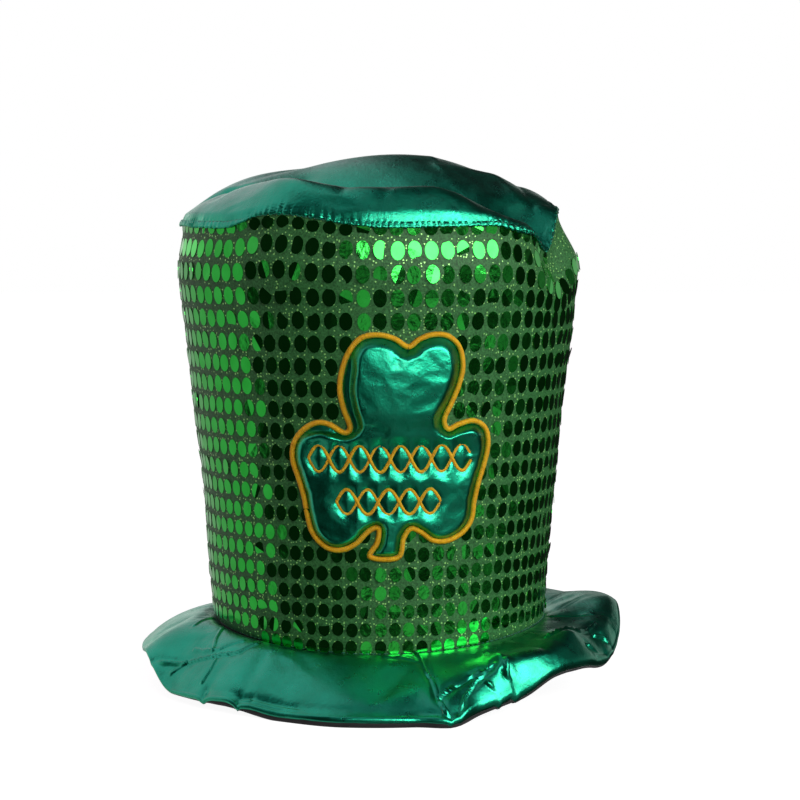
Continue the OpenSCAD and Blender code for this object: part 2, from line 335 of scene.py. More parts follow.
# Creases in the brim's cloth: [(turn, u) points, depth, half width]
BRIM_CREASES = [
    ([(-46, 0.16), (-51, 0.40), (-56, 0.49), (-60, 0.54)], 1.3, 0.8),
    ([(-40, 0.14), (-43, 0.37), (-51, 0.53), (-58, 0.69), (-63, 0.82), (-68, 1.0)], 1.8, 1.0),
    ([(-49, 0.55), (-48, 0.69), (-48, 0.84)], 1.2, 0.8),
    ([(-58, 0.67), (-61, 0.88)], 0.8, 0.8),
    ([(-62, 0.06), (-57, 0.28), (-53, 0.45)], 1.2, 0.8),
    ([(-77, 0.02), (-74, 0.16), (-70, 0.35)], 0.9, 0.8),
    ([(-45, 1.0), (-45, 0.92)], 1.8, 1.2),
    ([(-34, 1.0), (-34, 0.94), (-31, 0.92)], 2.0, 1.2),
    ([(-30, 0.93), (-24, 0.93), (-18, 0.94)], 1.0, 1.0),
    ([(12, 0.0), (13, 0.15), (13, 0.4), (14, 0.58), (14, 0.8), (15.5, 1.0)], 2.2, 1.3),
    ([(2, 0.12), (8, 0.16), (12, 0.24)], 1.0, 1.2),
    ([(14.5, 0.76), (17, 0.70), (22, 0.68), (26, 0.7)], 3.0, 2.0),
    ([(17.5, 0.98), (20, 0.86), (24, 0.8), (29, 0.76)], 2.6, 2.0),
    ([(25.5, 0.86), (28, 1.0)], 2.4, 1.2),
    ([(31.5, 0.82), (30.5, 0.92), (32.5, 1.0)], 2.6, 1.2),
    ([(29.5, 0.9), (31, 1.0)], -1.6, 1.6),
    ([(52, 0.5), (57, 0.60), (63, 0.68), (70, 0.70), (74, 0.73)], 2.2, 1.6),
    ([(68, 0.78), (71, 0.86), (72, 0.98)], 1.8, 1.3),
    ([(60, 0.86), (63, 0.93), (67, 0.98)], 2.0, 1.4),
    ([(84, 0.0), (88, 0.25), (95, 0.5)], 1.2, 1.2),
    ([(78, 0.1), (80, 0.5), (82, 0.9)], 1.3, 1.2),
    ([(100, 0.0), (106, 0.3), (111, 0.62)], 1.3, 1.3),
    ([(130, 0.05), (134, 0.5), (131, 0.9)], 1.5, 1.5),
    ([(160, 0.0), (163, 0.45)], 1.3, 1.4),
    ([(178, 0.1), (181, 0.55), (178, 1.0)], 1.6, 1.5),
    ([(-160, 0.0), (-156, 0.5)], 1.3, 1.4),
    ([(-130, 0.1), (-127, 0.5), (-131, 0.95)], 1.4, 1.5),
    ([(-100, 0.0), (-97, 0.35)], 1.1, 1.3),
]


brim_lines = [([under(*p)[:2] for p in line], depth, width) for line, depth, width in BRIM_CREASES]


def brim_top(turn, u, share=1.0):
    """Points of the brim's upper face, drawn in to a share of its width."""
    turn, u = np.broadcast_arrays(np.asarray(turn, float), np.asarray(u, float))
    lift = brim_t(turn, u)
    for mid, half, height in BRIM_FOLDS:
        lift = lift + height * near_turn(turn, mid, half) * smooth(0, 1, u)
    p = under(turn, u)
    fade = smooth(0, 0.25, u) * (1 - 0.6 * smooth(0.8, 1, u))
    calm = 1 - 0.85 * near_turn(turn, -70, 70)
    lift = lift + 0.4 * brim_waves(p[..., 0], p[..., 1]) * fade * calm
    lift = lift + creased(p[..., 0], p[..., 1], brim_lines) * smooth(-0.02, 0.08, u)
    whole = under(turn, u, lift)
    if np.ndim(share):
        whole[..., :2] = under(turn, np.where(u > 0, u * share, u))[..., :2]
    return whole


# ---------------------------------------------------------------- mesh helpers


def bare_object(points, faces, name="work"):
    mesh = bpy.data.meshes.new(name)
    mesh.from_pydata([tuple(v) for v in np.asarray(points) * MM], [], faces)
    mesh.update()
    obj = bpy.data.objects.new(name, mesh)
    bpy.context.scene.collection.objects.link(obj)
    return obj


def remove(obj):
    mesh = obj.data
    bpy.data.objects.remove(obj)
    bpy.data.meshes.remove(mesh)


def new_piece(name, node, verts, faces, look, is_smooth=True):
    """A piece of the hat that stands for a CAD node. A look is a material."""
    obj = bare_object(verts, faces, name)
    obj.data.materials.append(look[0])
    obj.data.polygons.foreach_set("use_smooth", [is_smooth] * len(obj.data.polygons))
    obj.data.update()
    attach(obj, ROOT)
    if node:
        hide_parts(node)
    return obj


def ring_shell(name, node, outer, inner, look):
    """A closed shell between two grids of points that close round their columns."""
    rows, cols = outer.shape[:2]
    verts = np.concatenate([outer.reshape(-1, 3), inner.reshape(-1, 3)])
    far = rows * cols
    faces = []
    for i in range(rows - 1):
        for j in range(cols):
            k = (j + 1) % cols
            a, b, c, d = i * cols + j, i * cols + k, (i + 1) * cols + k, (i + 1) * cols + j
            faces.append((a, b, c, d))
            faces.append((far + a, far + d, far + c, far + b))
    for j in range(cols):
        k = (j + 1) % cols
        last = (rows - 1) * cols
        faces.append((j, far + j, far + k, k))
        faces.append((last + j, last + k, far + last + k, far + last + j))
    return new_piece(name, node, verts, faces, look)


def plate(name, node, upper, lower, tris, border, look):
    """A closed plate between two faces that share one triangulation and border."""
    n = len(upper)
    faces = [tuple(t) for t in tris] + [tuple(n + i for i in reversed(t)) for t in tris]
    for a, b in border:
        faces.append((b, a, n + a, n + b))
    return new_piece(name, node, np.concatenate([upper, lower]), faces, look)


def border_edges(faces):
    """The edges that only one face uses, in that face's direction."""
    seen = {}
    for face in faces:
        for a, b in zip(face, face[1:] + face[:1]):
            key = (min(a, b), max(a, b))
            seen[key] = None if key in seen else (a, b)
    return [e for e in seen.values() if e]


def read_points(mesh):
    co = np.zeros(len(mesh.vertices) * 3)
    mesh.vertices.foreach_get("co", co)
    return co.reshape(-1, 3) / MM


def result_of(obj):
    """The points and faces of an object with its modifiers, which is then removed."""
    shown = obj.evaluated_get(bpy.context.evaluated_depsgraph_get())
    mesh = shown.to_mesh()
    points = read_points(mesh)
    faces = [tuple(f.vertices) for f in mesh.polygons]
    shown.to_mesh_clear()
    remove(obj)
    return points, faces


STIFFNESS = 12.0
SETTLE_FRAMES = 22


def settle(points, faces, hold, spare, extra, push, cap):
    """Cloth simulation of a sheet. hold is how firmly each point keeps its place; the
    share of spare cloth runs from extra[0] to extra[1] with spare; push is the
    stuffing's pressure, and cap the longest move."""
    obj = bare_object(points, faces)
    group = obj.vertex_groups.new(name="hold")
    loose = obj.vertex_groups.new(name="spare")
    for i, (w, v) in enumerate(zip(np.clip(hold, 0, 1), np.clip(spare, 0, 1))):
        group.add([i], float(w), "REPLACE")
        loose.add([i], float(v), "REPLACE")
    cloth = obj.modifiers.new("cloth", "CLOTH")
    cloth.settings.quality = 7
    cloth.settings.mass = 0.15
    cloth.settings.tension_stiffness = cloth.settings.compression_stiffness = STIFFNESS
    cloth.settings.shear_stiffness = STIFFNESS / 2
    cloth.settings.bending_stiffness = 0.4
    cloth.settings.air_damping = 3
    cloth.settings.vertex_group_mass = "hold"
    cloth.settings.vertex_group_shrink = "spare"
    cloth.settings.shrink_min = -extra[0]
    cloth.settings.shrink_max = -extra[1]
    cloth.settings.use_pressure = True
    cloth.settings.uniform_pressure_force = push
    cloth.settings.effector_weights.gravity = 0
    cloth.collision_settings.use_collision = False
    cloth.point_cache.frame_start = 1
    cloth.point_cache.frame_end = SETTLE_FRAMES
    scene = bpy.context.scene
    for f in range(1, SETTLE_FRAMES + 1):
        scene.frame_set(f)
    moved, _ = result_of(obj)
    scene.frame_set(1)
    way = moved - points
    far = np.linalg.norm(way, axis=1)[:, None]
    return points + way * np.minimum(1, cap / np.maximum(far, 1e-6))


def refined(points, faces):
    """The sheet with each face cut in four and smoothed."""
    obj = bare_object(points, faces)
    cut = obj.modifiers.new("cut", "SUBSURF")
    cut.levels = cut.render_levels = 1
    return result_of(obj)


def vertex_normals(points, faces):
    obj = bare_object(points, faces)
    normals = np.zeros(len(points) * 3)
    obj.data.vertex_normals.foreach_get("vector", normals)
    remove(obj)
    return normals.reshape(-1, 3)


def sharpened(sheet, faces, rows):
    """Presses narrow creases into a finished sheet along its lines."""
    x, y = sheet[:, 0], sheet[:, 1]
    groove = -sum(1.2 * depth * np.exp(-(near_line(x, y, line) / 0.75) ** 2) for line, depth, _ in rows)
    turn = np.degrees(np.arctan2(x, -y))
    groove *= smooth(1.5, 5.0, edge_r(turn) - np.hypot(x, y)) * (1 - 0.7 * smooth(76, 86, np.abs(turn)))
    return sheet + vertex_normals(sheet, faces) * groove[:, None]


def cloth_piece(name, node, points, faces, thickness, look):
    """A sheet made into a closed piece of cloth, its outer face through the points."""
    inner = points - vertex_normals(points, faces) * thickness
    return plate(name, node, points, inner, faces, border_edges(faces), look)


def fill_outline(outline, spacing):
    """Triangulates the inside of a closed outline over a lattice of points."""
    n = len(outline)
    low, high = outline.min(0), outline.max(0)
    rows = int((high[1] - low[1]) / (spacing * 0.866)) + 2
    cols = int((high[0] - low[0]) / spacing) + 2
    grid = np.array([(low[0] + (i + 0.5 * (j % 2)) * spacing, low[1] + j * spacing * 0.866)
                     for j in range(rows) for i in range(cols)])
    keep = inside(grid, outline) & (distance(grid, outline) > spacing * 0.6)
    points = [Vector(p) for p in np.concatenate([outline, grid[keep]])]
    edges = [(i, (i + 1) % n) for i in range(n)]
    verts, _, tris, _, _, _ = geometry.delaunay_2d_cdt(points, edges, [], 1, 1e-6)
    return np.array([tuple(v) for v in verts]), [tuple(t) for t in tris], edges


def inside(points, outline):
    x, y = points[:, 0], points[:, 1]
    hit = np.zeros(len(points), bool)
    for (ax, ay), (bx, by) in zip(outline, np.roll(outline, -1, axis=0)):
        cross = (ay > y) != (by > y)
        hit ^= cross & (x < (bx - ax) * (y - ay) / (by - ay + 1e-12) + ax)
    return hit


def distance(points, outline):
    return near_line(points[:, 0], points[:, 1], [*outline, outline[0]])


# ---------------------------------------------------------------- materials


class Nodes:
    """Short ways to build a node tree; place names the coordinates of its textures."""

    def __init__(self, tree, place="Object"):
        self.tree = tree
        self.place = self.add("ShaderNodeTexCoord").outputs[place]

    def feed(self, socket, value):
        if isinstance(value, bpy.types.NodeSocket):
            self.tree.links.new(value, socket)
        else:
            socket.default_value = value

    def add(self, kind, **values):
        node = self.tree.nodes.new(kind)
        for key, value in values.items():
            if hasattr(node, key):
                setattr(node, key, value)
            else:
                self.feed(node.inputs[key.replace("_", " ")], value)
        return node

    def noise(self, scale, detail=2.0, roughness=0.5):
        node = self.add("ShaderNodeTexNoise", Vector=self.place, Scale=scale, Detail=detail,
                        Roughness=roughness)
        return node.outputs["Fac"]

    def ramp(self, value, stops):
        node = self.add("ShaderNodeValToRGB", Fac=value)
        for element, (place, colour) in zip(node.color_ramp.elements, stops):
            element.position = place
            element.color = (*colour, 1)
        return node.outputs["Color"]

    def math(self, kind, a, b=0.0):
        node = self.add("ShaderNodeMath", operation=kind)
        self.feed(node.inputs[0], a)
        self.feed(node.inputs[1], b)
        return node.outputs[0]

    def step(self, value, low, high):
        node = self.add("ShaderNodeMapRange", interpolation_type="SMOOTHSTEP", Value=value,
                        From_Min=low, From_Max=high)
        return node.outputs["Result"]

    def mix(self, share, a, b):
        node = self.add("ShaderNodeMix", data_type="RGBA")
        for socket, value in ((0, share), (6, a), (7, b)):
            self.feed(node.inputs[socket], value)
        return node.outputs[2]

    def bump(self, height, strength, depth_mm, normal=None):
        node = self.add("ShaderNodeBump", Height=height, Strength=strength, Distance=depth_mm * MM)
        if normal:
            self.feed(node.inputs["Normal"], normal)
        return node.outputs["Normal"]


class Material(Nodes):
    """The node tree of a new material."""

    def __init__(self, name):
        self.material = bpy.data.materials.new(name)
        self.material.use_nodes = True
        super().__init__(self.material.node_tree)
        self.shader = self.tree.nodes["Principled BSDF"]

    def set(self, **values):
        for key, value in values.items():
            self.feed(self.shader.inputs[key.replace("_", " ")], value)


def grey(v):
    return (v, v, v)


def lame_material():
    """Metal-foil cloth: a tight knit under a thin foil, crumpled finely."""
    n = Material("metallic_cloth")
    normal = n.bump(n.noise(110, 3), 0.2, 0.6)
    normal = n.bump(n.noise(270, 3), 0.22, 0.4, normal)
    normal = n.bump(n.noise(600, 4, 0.6), 0.6, 0.3, normal)
    n.set(Base_Color=n.ramp(n.noise(60, 3), [(0.3, (0.010, 0.43, 0.235)), (0.7, (0.016, 0.55, 0.31))]),
          Roughness=n.ramp(n.noise(140, 4), [(0.35, grey(0.27)), (0.7, grey(0.37))]),
          Metallic=1.0, Specular_IOR_Level=0.5, Coat_Weight=0.35, Coat_Roughness=0.2,
          Normal=n.bump(n.noise(1800), 0.4, 0.1, normal))
    return n.material


def sequin_material():
    n = Material("sequin_foil")
    n.set(Base_Color=n.ramp(n.noise(90), [(0.3, (0.035, 0.55, 0.06)), (0.7, (0.05, 0.66, 0.085))]),
          Metallic=1.0, Roughness=0.09, Normal=n.bump(n.noise(260), 0.25, 0.25))
    return n.material


def glitter_cloth_material():
    """Dark green knit with fine flakes of glitter between the sequins."""
    n = Material("glitter_knit")
    cells = n.add("ShaderNodeTexVoronoi", Vector=n.place, Scale=620.0)
    chance, tilt = n.add("ShaderNodeSeparateColor", Color=cells.outputs["Color"]).outputs[:2]
    flake = n.math("LESS_THAN", cells.outputs["Distance"], 0.30)
    flake = n.math("MULTIPLY", flake, n.math("GREATER_THAN", chance, 0.6))
    cloth = n.ramp(n.noise(900, 3), [(0.35, (0.012, 0.095, 0.018)), (0.65, (0.05, 0.24, 0.06))])
    normal = n.bump(n.noise(2200), 0.7, 0.15)
    n.set(Base_Color=n.mix(flake, cloth, (0.45, 1.0, 0.28, 1)),
          Metallic=n.math("MULTIPLY", flake, 0.35),
          Roughness=n.math("SUBTRACT", 0.6, n.math("MULTIPLY", flake, 0.3)),
          Normal=n.bump(n.math("MULTIPLY", tilt, flake), 0.8, 0.3, normal))
    return n.material


def woven_material(name, dark, light, threads_per_m):
    n = Material(name)
    warp, weft = (n.add("ShaderNodeTexWave", Vector=n.place, Scale=threads_per_m / 6, bands_direction=way)
                  for way in "XZ")
    normal = n.bump(n.math("ADD", warp.outputs["Fac"], weft.outputs["Fac"]), 0.4, 0.1)
    n.set(Base_Color=n.ramp(n.noise(120, 3), [(0.3, dark), (0.7, light)]),
          Roughness=0.75, Sheen_Weight=0.3, Sheen_Roughness=0.5,
          Normal=n.bump(n.noise(60, 3), 0.3, 0.8, normal))
    return n.material


def foam_material(name, colour):
    n = Material(name)
    n.set(Base_Color=n.ramp(n.noise(200, 4), [(0.3, grey(0.6)), (0.7, colour)]),
          Roughness=0.95, Normal=n.bump(n.noise(900, 4), 0.8, 0.6))
    return n.material


def thread_material(name, dark, light, roughness, sheen):
    """Shiny twisted thread."""
    n = Material(name)
    n.set(Base_Color=n.ramp(n.noise(500, 3), [(0.3, dark), (0.7, light)]),
          Roughness=roughness, Sheen_Weight=sheen, Sheen_Roughness=0.35, Specular_IOR_Level=0.5,
          Normal=n.bump(n.noise(2600), 0.5, 0.12))
    return n.material


# Looks: a material and its slot
LAME = (lame_material(), "metallic_cloth")
SEQUIN = (sequin_material(), "sequinned_cloth")
GLITTER = (glitter_cloth_material(), "sequinned_cloth")
LINING = (woven_material("black_lining", grey(0.008), grey(0.02), 4000), "lining")
FOAM = (foam_material("white_foam", (0.85, 0.85, 0.78)), "foam")
WADDING = (foam_material("white_wadding", (0.9, 0.9, 0.88)), "wadding")
GOLD = (thread_material("gold_rayon", (0.86, 0.42, 0.002), (1.0, 0.58, 0.006), 0.5, 0.1), "gold_thread")
GREEN = (thread_material("green_polyester", (0.01, 0.12, 0.07), (0.02, 0.25, 0.14), 0.38, 0.4),
         "green_thread")
BAND = woven_material("black_grosgrain", grey(0.012), grey(0.03), 2600)

# ---------------------------------------------------------------- crown side

SIDE_TURNS = np.arange(0, 360, 1.5)


def side_layer(name, node, depth, thickness, rows, look, high=1.0):
    """A layer of the crown's side, from a depth inward; high is the share of t it reaches."""
    t = np.linspace(0, high, rows)[:, None]
    outer, inner = (side(SIDE_TURNS[None, :], t, d) for d in (depth, depth + thickness))
    return ring_shell(name, node, outer, inner, look)


FOAM_DEPTH = CLOTH_T + GAP
LINING_DEPTH = FOAM_DEPTH + FOAM_T + GAP
cloth = side_layer("crown_side_cloth_sewn", "crown_side_cloth", 0, CLOTH_T, 120, GLITTER)
foam = side_layer("crown_side_foam_sheet", "crown_side_foam", FOAM_DEPTH, FOAM_T, 60, FOAM, high=0.99)
lining = side_layer("crown_side_lining_cloth", "crown_side_lining", LINING_DEPTH, LINING_T, 60, LINING)

# ---------------------------------------------------------------- sequins

COLUMNS = 78
ROWS = 21
FIRST_ROW_Z = 264.0
ROW_STEP = 13.0
ROW_SHRINK = 0.16
SEQUIN_SIDES = 16
SEQUIN_T = 0.2
SEQUIN_WIDE = 0.82  # shares of the pitch round the crown and up it
SEQUIN_TALL = 0.79
TOP_ROW_CUT = 1.7   # the top seam cuts twice this off the tops of the first row's sequins


def row_z(k):
    return FIRST_ROW_Z - ROW_STEP * k + 0.5 * ROW_SHRINK * k * (k - 1)


# ---------------------------------------------------------------- clover outline

PATCH_X = 7.2
PATCH_Z = 145.0
BORDER_W = 2.9
CLOVER = np.array([
    (9.5, 54.5), (2, 59), (-7, 61), (-16, 59), (-22.5, 51), (-26, 41), (-27, 31), (-25, 21),
    (-21.5, 11), (-25, 8), (-33, 12.5), (-40, 13), (-47, 9), (-52, 2), (-53, -7), (-50, -17),
    (-47, -27), (-45, -38), (-42, -48), (-35, -55), (-27, -56.5), (-19, -53), (-12, -46),
    (-6.5, -44), (-7, -52), (-11, -60), (4, -60.5), (7, -50), (11, -44.5), (17, -47),
    (23, -51.5), (31, -52), (39, -48), (44, -41), (45.5, -31), (48, -20), (51, -10), (53, 0),
    (51.5, 9), (45, 13.5), (37, 12), (31, 9.5), (29, 15), (33, 24), (37, 34), (39, 44),
    (37, 54), (31, 60), (23, 61), (15.5, 58.5)])


def closed_curve(points, parts):
    p0, p1 = np.roll(points, 1, axis=0), points
    p2, p3 = np.roll(points, -1, axis=0), np.roll(points, -2, axis=0)
    out = []
    for k in range(parts):
        t = k / parts
        out.append(0.5 * (2 * p1 + (p2 - p0) * t + (2 * p0 - 5 * p1 + 4 * p2 - p3) * t ** 2
                          + (3 * p1 - p0 - 3 * p2 + p3) * t ** 3))
    return np.stack(out, axis=1).reshape(-1, 2)


def grown(curve, d):
    way = np.roll(curve, -1, axis=0) - np.roll(curve, 1, axis=0)
    return curve + d * np.stack([way[:, 1], -way[:, 0]], axis=1) / np.linalg.norm(way, axis=1)[:, None]


def on_crown(xz, lift):
    """Puts points of the patch's plan [across, up] on the crown's front, lift over it."""
    x, z = xz[:, 0] + PATCH_X, xz[:, 1] + PATCH_Z
    r = flared(z - BASE_Z) + lift
    return np.stack([x, -np.sqrt(r * r - x * x), z], axis=1)


def crown_out(xz):
    """Outward normals of the crown at points of the patch's plan."""
    eps = 0.5
    low, high = on_crown(xz - [0, eps], 0), on_crown(xz + [0, eps], 0)
    left, right = on_crown(xz - [eps, 0], 0), on_crown(xz + [eps, 0], 0)
    out = np.cross(right - left, high - low)
    return out / np.linalg.norm(out, axis=1)[:, None]


clover_line = closed_curve(CLOVER, 8)


def folded_share(turn):
    """The left columns lie flat; elsewhere a share of the sequins is bent across."""
    return 0.1 if turned(turn) < -44 else 0.45


def place_sequins():
    """Every sequin is an oval disc of two faces, or of two halves bent along a fold."""
    rng = np.random.RandomState(77)
    ring = np.linspace(0, 2 * np.pi, SEQUIN_SIDES, endpoint=False)
    unit = np.stack([np.cos(ring), np.sin(ring)], axis=1)
    verts, faces = [], []
    for k in range(ROWS):
        cut = TOP_ROW_CUT if k == 0 else 0.0
        z = row_z(k) - cut
        pitch_v = ROW_STEP - ROW_SHRINK * k
        for c in range(COLUMNS):
            turn = 360.0 * c / COLUMNS + 1.0 + rng.normal(0, 0.12)
            low = seam_z(turn)
            t = (z + rng.normal(0, 0.15) - low) / (RIM_Z - low)
            loose = 0.02 if turned(turn) < -44 else 0.045
            spin, lean, sway = rng.normal(0, 0.04), rng.normal(0, loose), rng.normal(0, loose)
            if rng.rand() < 0.15:
                lean, sway = lean * 2.5, sway * 2.5
            if t < 0.004 or t > 1.03:
                continue
            if 64 < turned(turn) < 100 and k < 2:
                continue
            t = min(max(t, 0.012), 0.992)
            p, around, up, out = side_frame(turn, t)
            if abs(turned(turn)) < 60:
                xz = np.array([[p[0] - PATCH_X, p[2] - PATCH_Z]])
                if inside(xz, clover_line)[0]:
                    continue
            radius = np.hypot(p[0], p[1])
            half_w = SEQUIN_WIDE * np.pi * radius / COLUMNS
            half_h = SEQUIN_TALL * pitch_v / 2 - cut
            out = out + lean * up + sway * around
            out /= np.linalg.norm(out)
            side_way = np.cross(up, out)
            side_way /= np.linalg.norm(side_way)
            up_way = np.cross(out, side_way)
            a = side_way * math.cos(spin) + up_way * math.sin(spin)
            b = -side_way * math.sin(spin) + up_way * math.cos(spin)
            centre = p + out * (0.22 + 0.25 * abs(lean) * half_h + 0.25 * abs(sway) * half_w)
            fold = rng.normal(0, 0.12) if rng.rand() < folded_share(turn) else 0.0
            if t < 0.03:
                fold = 0.0
            start = rng.randint(SEQUIN_SIDES)
            first = len(verts)
            n = SEQUIN_SIDES
            way = np.array([math.cos(2 * math.pi * start / n), math.sin(2 * math.pi * start / n)])
            for level in (0.0, -SEQUIN_T):
                for ux, uy in unit:
                    off = abs(ux * way[1] - uy * way[0])
                    verts.append(centre + a * ux * half_w + b * uy * half_h + out * (level - fold * 2 * off))
            for side_of_disc, turn_over in ((first, False), (first + n, True)):
                ring_ids = [side_of_disc + (start + j) % n for j in range(n)]
                parts = [ring_ids]
                if fold:
                    parts = [ring_ids[:n // 2 + 1], ring_ids[n // 2:] + ring_ids[:1]]
                for part in parts:
                    faces.append(tuple(reversed(part)) if turn_over else tuple(part))
            for j in range(n):
                m = (j + 1) % n
                faces.append((first + m, first + j, first + n + j, first + n + m))
    return np.array(verts), faces


verts, faces = place_sequins()
new_piece("sequins", None, verts, faces, SEQUIN, is_smooth=False)

# ---------------------------------------------------------------- crown top

RIM_POINTS = 400
seam_ripple = Ripple(11, 140, 270)
seam_reach = Ripple(13, 6, 40)
seam_spikes = Ripple(17, 120, 230)


# How far the lip of the top hangs below its seam: [turn, millimetres]
OVERHANG = np.array([
    (-180, 1), (-110, 1), (-75, 2.8), (-48, 4.0), (-42, 2.8), (-36, 0.3), (-15, 0.3), (-8, 1.2), (0, 3.5),
    (10, 3.5), (20, 2.8), (28, 2.4), (34, 1.6), (42, 2.0), (52, 1.0), (62, 0), (100, 0.3), (180, 1)])


def overhang(turn):
    return np.interp(turned(turn), OVERHANG[:, 0], OVERHANG[:, 1])


def puckered(sheet, faces):
    """Fine gathers where the top's cloth is sewn into its seam."""
    turn = np.degrees(np.arctan2(sheet[:, 0], -sheet[:, 1]))
    height = np.clip(sheet[:, 2] - top_z(turn) + overhang(turn), 0, None)
    rim = np.clip(top_r(turn) - np.hypot(sheet[:, 0], sheet[:, 1]), 0, None)
    along = height + rim
    reach = 3.4 + 1.6 * seam_reach(turn) + 1.2 * seam_spikes(turn)
    size = 1.2 * np.exp(-along / np.maximum(reach, 1.0)) * (1 - np.exp(-(along + 0.4) / 0.8))
    return sheet + vertex_normals(sheet, faces) * (size * seam_ripple(turn))[:, None]


def build_top():
    """The top's sheet is laid out on a disc whose rings crowd towards the rim."""
    turn = np.arange(RIM_POINTS) * 360.0 / RIM_POINTS
    outline = at(turn, 1.0, 0)[:, :2]
    flat, tris, border = fill_outline(outline, 2.9 / RIM_R)
    s = np.clip(np.hypot(flat[:, 0], flat[:, 1]), 0, 1)
    turn = np.degrees(np.arctan2(flat[:, 0], -flat[:, 1]))
    q = s * (2 - s)
    r = q * top_r(turn)
    x, y = at(turn, r, 0)[:, 0], at(turn, r, 0)[:, 1]
    sheet = np.stack([x, y, crown_top(x, y)], axis=1)
    edge = (1 - q) * top_r(turn)
    drop = overhang(turn)
    bulge = (1.1 + 0.4 * np.minimum(drop, 2.5)) * np.sqrt(np.clip(edge / 0.5, 0, 1)) * np.exp(-edge / 2.0)
    bulge *= 1 - near_turn(turn, 80, 24)
    sheet[:, :2] *= (1 + bulge / np.maximum(r, 1))[:, None]
    sheet[:, 2] -= (drop + 1.5 * np.minimum(drop, 1)) * np.sin(np.pi * np.clip(np.sqrt(edge) / 1.4, 0, 1))
    lines = np.exp(-(np.min([near_line(x, y, c[0]) for c in TOP_CREASES], axis=0) / 2.0) ** 2)
    hold = np.where(s > 0.999, 1.0, 0.02 + 0.25 * lines + 0.10 * smooth(0.25, 0.6, 1 - s))
    sheet = settle(sheet, tris, hold, np.exp(-edge / 4), extra=(0.003, 0.05), push=0.5, cap=2.5)
    sheet, faces = refined(sheet, tris)
    sheet = puckered(sheet, faces)
    cloth = cloth_piece("crown_top_cloth_puffed", "crown_top_cloth", sheet, faces, CLOTH_T, LAME)

    inner = q * (top_r(turn) - 2.0)
    x, y = at(turn, inner, 0)[:, 0], at(turn, inner, 0)[:, 1]
    calm = crown_top(x, y, waves=0.0) - 3.5
    wadding = 1 + 3.5 * (1 - q ** 4)

    def layer(name, node, above, below, look):
        upper = np.stack([x, y, calm - above], axis=1)
        lower = np.stack([x, y, calm - below], axis=1)
        return plate(name, node, upper, lower, tris, border, look)

    pad = layer("crown_top_wadding", "crown_top_padding", 0, wadding, WADDING)
    above = wadding + GAP
    lining = layer("crown_top_lining_cloth", "crown_top_lining", above, above + LINING_T, LINING)
    return cloth, pad, lining


top_cloth, top_pad, top_lining = build_top()

# ---------------------------------------------------------------- brim

BRIM_TURNS = np.concatenate([np.arange(-82, -28, 0.6), np.arange(-28, 10, 1.0), np.arange(10, 80, 0.6),
                             np.arange(80, 278, 1.5)])
BRIM_US = np.concatenate([np.linspace(-0.06, 0.74, 18), np.linspace(0.77, 0.97, 9), [0.985, 1.0]])
ROLL_STEPS = 6


def grid_faces(rows, cols, flip=False):
    faces = []
    for i in range(rows - 1):
        for j in range(cols):
            k = (j + 1) % cols
            face = (i * cols + j, (i + 1) * cols + j, (i + 1) * cols + k, i * cols + k)
            faces.append(face[::-1] if flip else face)
    return faces


def u_of(row):
    return BRIM_US[np.minimum(row, len(BRIM_US) - 1)]


